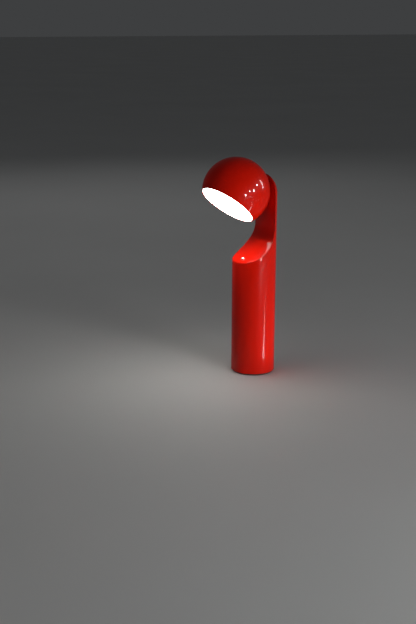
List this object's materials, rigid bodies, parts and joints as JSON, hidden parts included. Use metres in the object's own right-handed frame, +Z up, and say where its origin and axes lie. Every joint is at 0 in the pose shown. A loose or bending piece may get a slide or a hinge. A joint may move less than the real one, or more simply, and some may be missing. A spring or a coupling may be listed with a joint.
{
  "type": "table lamp",
  "caption": "Table lamp with a scooped upright tube body, a ball head that swivels and tilts beside its flat stem, and a push button.",
  "frame": {"origin": "centre of the foot pad's underside, on the tube's axis", "axes": "+Z up along the tube's axis, -Y towards the lamp's front, where the scoop is low, and +X to the right as seen from the front"},
  "size_m": [0.1216, 0.1417, 0.3999],
  "materials": {
    "red_lacquer": "glossy red lacquer over smooth sheet metal, thin pale edge where it is rounded",
    "foot_rubber": "matt black non-slip pad",
    "plated_steel": "zinc-plated steel, fine brushed grain",
    "spindle_steel": "turned steel",
    "ballast_iron": "dark sand-cast iron",
    "black_plastic": "fine moulded black plastic",
    "polished_metal": "polished domed metal button, slightly warm",
    "coil_copper": "lacquered copper winding",
    "circuit_board": "green solder mask on glass laminate",
    "nylon": "natural nylon",
    "wire_sleeve": "grey wire insulation",
    "cast_aluminium": "spun aluminium",
    "white_plastic": "white reflecting plastic",
    "phosphor": "yellow light-emitting patch",
    "opal_plastic": "opal acrylic disc that glows white"
  },
  "bodies": {
    "body": {"body_tube": "red_lacquer", "scoop_plate": "red_lacquer", "foot_pad": "foot_rubber", "base_plate": "plated_steel", "base_screw_1": "plated_steel", "base_screw_2": "plated_steel", "base_screw_3": "plated_steel", "inlet_nut": "plated_steel", "board_bracket": "plated_steel", "bracket_screw_1": "plated_steel", "bracket_screw_2": "plated_steel", "board_screw_1": "plated_steel", "board_screw_2": "plated_steel", "switch_bracket": "plated_steel", "stop_pin": "plated_steel", "base_weight": "ballast_iron", "dc_inlet": "black_plastic", "driver_capacitor": "black_plastic", "driver_chip": "black_plastic", "switch_body": "black_plastic", "friction_washer": "black_plastic", "driver_coil": "coil_copper", "driver_board": "circuit_board", "switch_board": "circuit_board", "board_spacer_1": "nylon", "board_spacer_2": "nylon", "spindle_bush": "nylon", "supply_wire": "wire_sleeve", "stem_wire": "wire_sleeve", "switch_wire": "wire_sleeve"},
    "button": {"button_cap": "polished_metal", "switch_plunger": "black_plastic"},
    "swivel": {"swivel_spindle": "spindle_steel", "key_washer": "plated_steel", "spring_washer": "plated_steel", "spindle_nut": "plated_steel", "pivot_block": "plated_steel", "tilt_screw_left": "plated_steel", "tilt_screw_right": "plated_steel", "tilt_washer_left": "nylon", "tilt_washer_right": "nylon", "slot_shield": "black_plastic", "spindle_wire": "wire_sleeve"},
    "head": {"head_shell": "red_lacquer", "head_lug_1": "plated_steel", "head_lug_2": "plated_steel", "head_lug_3": "plated_steel", "led_carrier": "cast_aluminium", "carrier_screw_1": "plated_steel", "carrier_screw_2": "plated_steel", "carrier_screw_3": "plated_steel", "head_bracket": "plated_steel", "bracket_rivet_1": "cast_aluminium", "bracket_rivet_2": "cast_aluminium", "led_board": "white_plastic", "led_chip": "phosphor", "reflector": "white_plastic", "diffuser": "opal_plastic", "led_wire": "wire_sleeve"}
  },
  "joints": [
    {"name": "head_swivel", "type": "hinge", "parent": "body", "child": "swivel", "pos_m": [0, -0.0398, 0.339], "axis": [0, 1, 0], "range_deg": [-153.5, 166.5]},
    {"name": "head_tilt", "type": "hinge", "parent": "swivel", "child": "head", "pos_m": [0, -0.0398, 0.339], "axis": [0.9936, 0, 0.1132], "range_deg": [-35.5, 34.5]},
    {"name": "button_press", "type": "slide", "parent": "body", "child": "button", "axis": [0, 0.3541, -0.9352], "range_m": [0, 0.0008], "stiffness_N_per_m": 500, "springref_m": -0.002}
  ]
}
